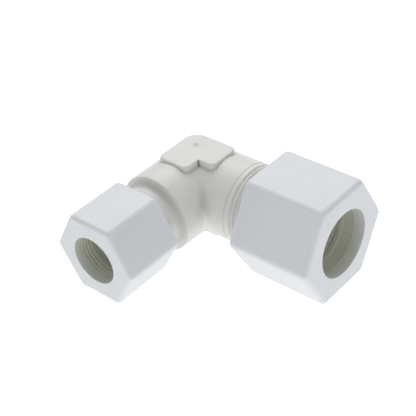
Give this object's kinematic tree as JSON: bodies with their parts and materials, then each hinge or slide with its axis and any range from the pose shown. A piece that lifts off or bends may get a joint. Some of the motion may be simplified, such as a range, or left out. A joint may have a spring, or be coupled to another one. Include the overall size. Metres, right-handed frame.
{
  "type": "compression fitting",
  "caption": "Right-angle reducing compression fitting in white plastic that joins a larger and a smaller tube with screw-on hexagon nuts, grip rings and rubber seals.",
  "frame": {"origin": "crossing point of the two tube axes, at the centre of the elbow", "axes": "+X out of the large (22 mm) arm along its tube axis, -Y out of the small (16 mm) arm along its tube axis, +Z square to both, out of the upper pad"},
  "size_m": [0.0741, 0.0711, 0.036],
  "materials": {
    "body_plastic": "moulded polypropylene, warm white, fine satin skin",
    "nut_plastic": "moulded polypropylene, cool white, fine satin skin",
    "ring_plastic": "natural acetal, slightly translucent",
    "washer_plastic": "natural polyamide, satin",
    "seal_rubber": "black EPDM rubber, matt"
  },
  "bodies": {
    "elbow": {"elbow_body": "body_plastic", "large_o_ring": "seal_rubber", "small_o_ring": "seal_rubber"},
    "large_rings": {"large_grip_ring": "ring_plastic", "large_thrust_washer": "washer_plastic"},
    "large_nut": {"large_union_nut": "nut_plastic"},
    "small_rings": {"small_grip_ring": "ring_plastic", "small_thrust_washer": "washer_plastic"},
    "small_nut": {"small_union_nut": "nut_plastic"}
  },
  "joints": [
    {"name": "large_nut_advance", "type": "slide", "parent": "elbow", "child": "large_rings", "axis": [1, 0, 0], "range_m": [0, 0.01501]},
    {"name": "large_nut_turn", "type": "hinge", "parent": "large_rings", "child": "large_nut", "pos_m": [0.0436, 0, 0], "axis": [1, 0, 0], "range_deg": [0, 3600]},
    {"name": "small_nut_advance", "type": "slide", "parent": "elbow", "child": "small_rings", "axis": [0, -1, 0], "range_m": [0, 0.01051]},
    {"name": "small_nut_turn", "type": "hinge", "parent": "small_rings", "child": "small_nut", "pos_m": [0, -0.0395, 0], "axis": [0, -1, 0], "range_deg": [0, 2520]}
  ],
  "couplings": [
    {"joint": "large_nut_advance", "follows": "large_nut_turn", "m_per_rad": 0.00023873},
    {"joint": "small_nut_advance", "follows": "small_nut_turn", "m_per_rad": 0.00023873}
  ]
}
